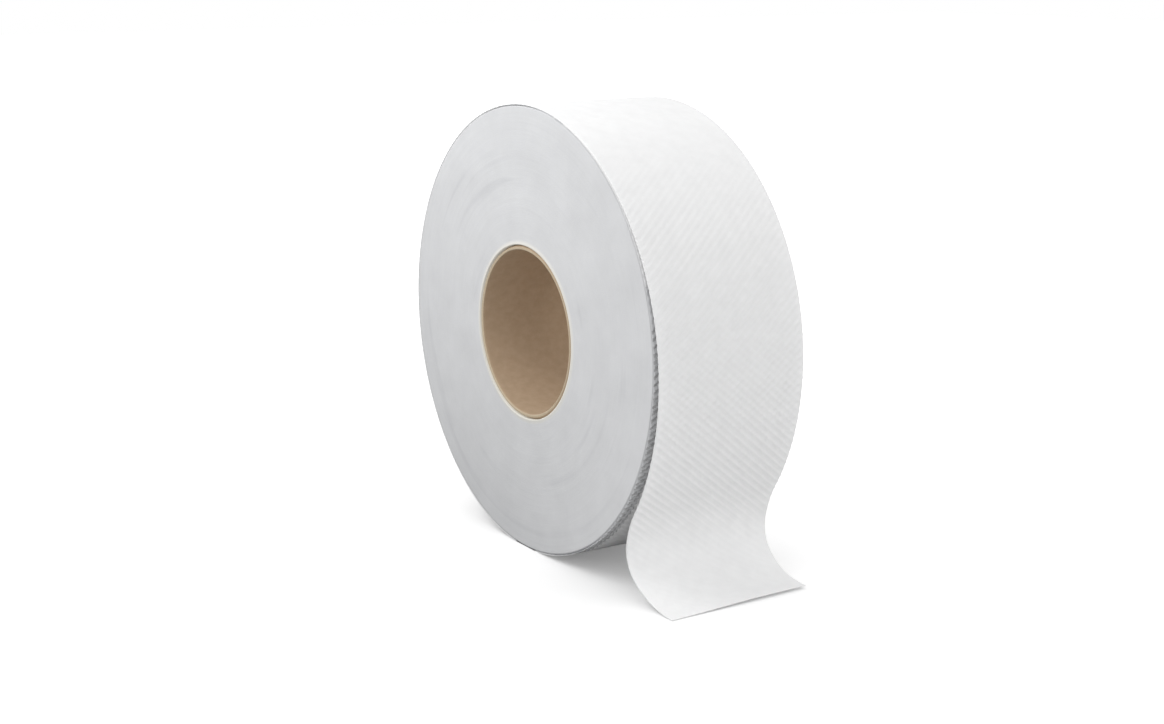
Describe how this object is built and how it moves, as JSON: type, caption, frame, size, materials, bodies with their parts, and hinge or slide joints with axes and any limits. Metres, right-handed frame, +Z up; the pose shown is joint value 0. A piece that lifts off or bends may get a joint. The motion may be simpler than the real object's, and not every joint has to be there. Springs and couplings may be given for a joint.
{
  "type": "toilet paper roll",
  "caption": "Jumbo toilet tissue roll on a cardboard core, standing on its curved side with the loose end of its paper hanging down to the floor.",
  "frame": {"origin": "centre of the core's bore, halfway between the roll's ends", "axes": "+Y along the roll's axis, away from the end that the picture shows; +Z up; +X towards the side where the loose end hangs down"},
  "size_m": [0.2418, 0.084, 0.2277],
  "materials": {
    "cardboard": "uncoated kraft board, matt",
    "tissue": "soft embossed tissue, matt"
  },
  "bodies": {
    "root": {"core_tube": "cardboard", "tissue_roll": "tissue"}
  },
  "joints": []
}
